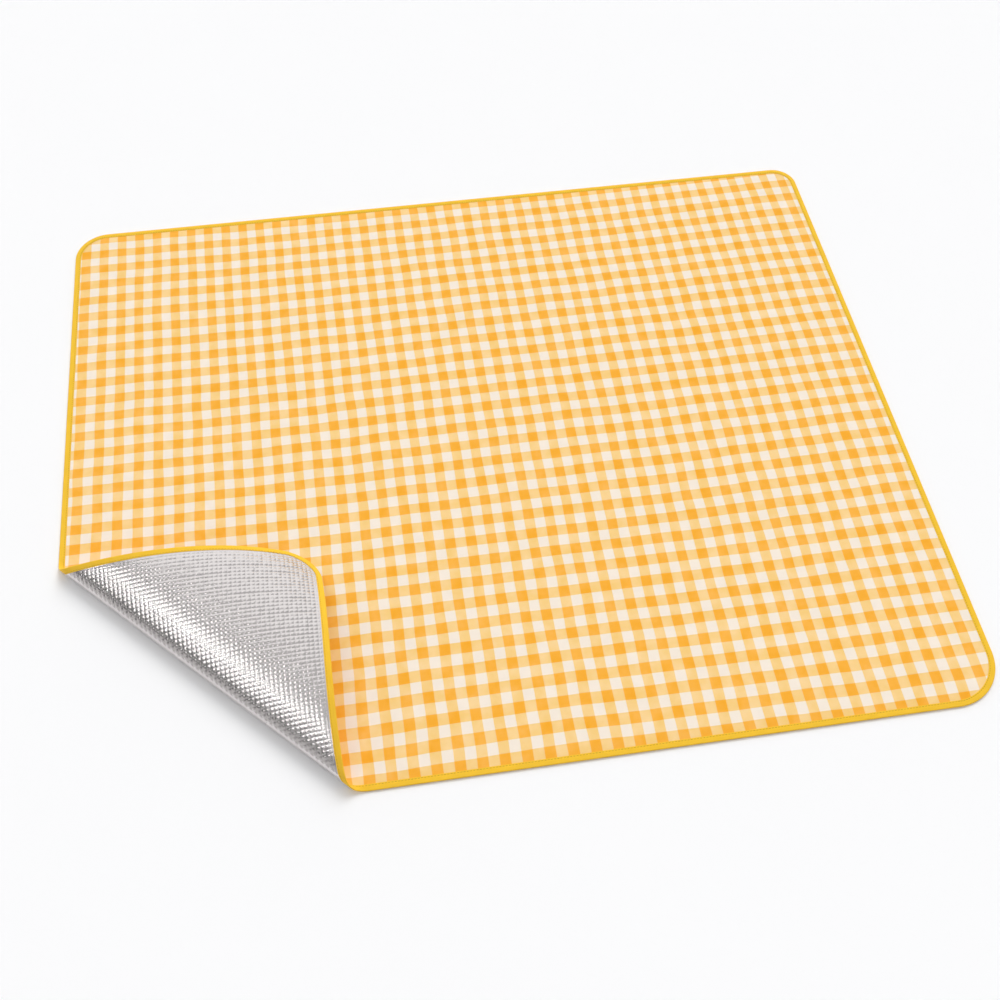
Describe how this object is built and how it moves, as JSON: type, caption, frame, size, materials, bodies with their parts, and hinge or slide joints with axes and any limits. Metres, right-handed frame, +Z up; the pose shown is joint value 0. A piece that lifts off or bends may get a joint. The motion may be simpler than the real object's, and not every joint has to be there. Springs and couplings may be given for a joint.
{
  "type": "picnic mat",
  "caption": "Large foil-backed foam picnic mat with a checked cloth top and a bound, rounded edge, one corner turned over onto the top; the corner rolls out flat.",
  "frame": {"origin": "middle of the mat on the ground it lies on", "axes": "+X along the long side to the right, +Y to the back, +Z up; the turned-over corner is the front left one"},
  "size_m": [1.8, 1.5, 0.0663],
  "materials": {
    "printed_cloth": "matte",
    "foam_core": "matte",
    "foil_back": "satin",
    "binding_tape": "matte"
  },
  "bodies": {
    "main_panel": {"foil_main": "foil_back", "foam_main": "foam_core", "cloth_main": "printed_cloth", "binding_main": "binding_tape"},
    "curl_1_strip": {"foil_curl_1": "foil_back", "foam_curl_1": "foam_core", "cloth_curl_1": "printed_cloth", "binding_left_curl_1": "binding_tape", "binding_front_curl_1": "binding_tape"},
    "curl_2_strip": {"foil_curl_2": "foil_back", "foam_curl_2": "foam_core", "cloth_curl_2": "printed_cloth", "binding_left_curl_2": "binding_tape", "binding_front_curl_2": "binding_tape"},
    "curl_3_strip": {"foil_curl_3": "foil_back", "foam_curl_3": "foam_core", "cloth_curl_3": "printed_cloth", "binding_left_curl_3": "binding_tape", "binding_front_curl_3": "binding_tape"},
    "curl_4_strip": {"foil_curl_4": "foil_back", "foam_curl_4": "foam_core", "cloth_curl_4": "printed_cloth", "binding_left_curl_4": "binding_tape", "binding_front_curl_4": "binding_tape"},
    "curl_5_strip": {"foil_curl_5": "foil_back", "foam_curl_5": "foam_core", "cloth_curl_5": "printed_cloth", "binding_left_curl_5": "binding_tape", "binding_front_curl_5": "binding_tape"},
    "crown_1_strip": {"foil_crown_1": "foil_back", "foam_crown_1": "foam_core", "cloth_crown_1": "printed_cloth", "binding_left_crown_1": "binding_tape", "binding_front_crown_1": "binding_tape"},
    "crown_2_strip": {"foil_crown_2": "foil_back", "foam_crown_2": "foam_core", "cloth_crown_2": "printed_cloth", "binding_left_crown_2": "binding_tape", "binding_front_crown_2": "binding_tape"},
    "crown_3_strip": {"foil_crown_3": "foil_back", "foam_crown_3": "foam_core", "cloth_crown_3": "printed_cloth", "binding_left_crown_3": "binding_tape", "binding_front_crown_3": "binding_tape"},
    "crown_4_strip": {"foil_crown_4": "foil_back", "foam_crown_4": "foam_core", "cloth_crown_4": "printed_cloth", "binding_left_crown_4": "binding_tape", "binding_front_crown_4": "binding_tape"},
    "corner_tip": {"foil_tip": "foil_back", "foam_tip": "foam_core", "cloth_tip": "printed_cloth", "binding_tip": "binding_tape"}
  },
  "joints": [
    {"name": "corner_unroll", "type": "hinge", "parent": "main_panel", "child": "curl_1_strip", "pos_m": [-0.6145, -0.4645, 0], "axis": [0.7071, -0.7071, 0], "range_deg": [0, 15]},
    {"name": "curl_2_unroll", "type": "hinge", "parent": "curl_1_strip", "child": "curl_2_strip", "pos_m": [-0.62016, -0.47016, 0.00214], "axis": [0.7071, -0.7071, 0], "range_deg": [0, 30]},
    {"name": "curl_3_unroll", "type": "hinge", "parent": "curl_2_strip", "child": "curl_3_strip", "pos_m": [-0.6243, -0.4743, 0.008], "axis": [0.7071, -0.7071, 0], "range_deg": [0, 30]},
    {"name": "curl_4_unroll", "type": "hinge", "parent": "curl_3_strip", "child": "curl_4_strip", "pos_m": [-0.62581, -0.47581, 0.016], "axis": [0.7071, -0.7071, 0], "range_deg": [0, 30]},
    {"name": "curl_5_unroll", "type": "hinge", "parent": "curl_4_strip", "child": "curl_5_strip", "pos_m": [-0.6243, -0.4743, 0.024], "axis": [0.7071, -0.7071, 0], "range_deg": [0, 30]},
    {"name": "crown_1_unroll", "type": "hinge", "parent": "curl_5_strip", "child": "crown_1_strip", "pos_m": [-0.62016, -0.47016, 0.02986], "axis": [0.7071, -0.7071, 0], "range_deg": [0, 21.91]},
    {"name": "crown_2_unroll", "type": "hinge", "parent": "crown_1_strip", "child": "crown_2_strip", "pos_m": [-0.57739, -0.42739, 0.05565], "axis": [0.7071, -0.7071, 0], "range_deg": [0, 13.81]},
    {"name": "crown_3_unroll", "type": "hinge", "parent": "crown_2_strip", "child": "crown_3_strip", "pos_m": [-0.53151, -0.38151, 0.06625], "axis": [0.7071, -0.7071, 0], "range_deg": [0, 13.81]},
    {"name": "crown_4_unroll", "type": "hinge", "parent": "crown_3_strip", "child": "crown_4_strip", "pos_m": [-0.48517, -0.33517, 0.06107], "axis": [0.7071, -0.7071, 0], "range_deg": [0, 13.81]},
    {"name": "tip_unroll", "type": "hinge", "parent": "crown_4_strip", "child": "corner_tip", "pos_m": [-0.44104, -0.29104, 0.04038], "axis": [0.7071, -0.7071, 0], "range_deg": [0, 13.81]}
  ],
  "couplings": [
    {"joint": "curl_2_unroll", "follows": "corner_unroll", "ratio": 2},
    {"joint": "curl_3_unroll", "follows": "corner_unroll", "ratio": 2},
    {"joint": "curl_4_unroll", "follows": "corner_unroll", "ratio": 2},
    {"joint": "curl_5_unroll", "follows": "corner_unroll", "ratio": 2},
    {"joint": "crown_1_unroll", "follows": "corner_unroll", "ratio": 1.4603},
    {"joint": "crown_2_unroll", "follows": "corner_unroll", "ratio": 0.92067},
    {"joint": "crown_3_unroll", "follows": "corner_unroll", "ratio": 0.92067},
    {"joint": "crown_4_unroll", "follows": "corner_unroll", "ratio": 0.92067},
    {"joint": "tip_unroll", "follows": "corner_unroll", "ratio": 0.92067}
  ]
}
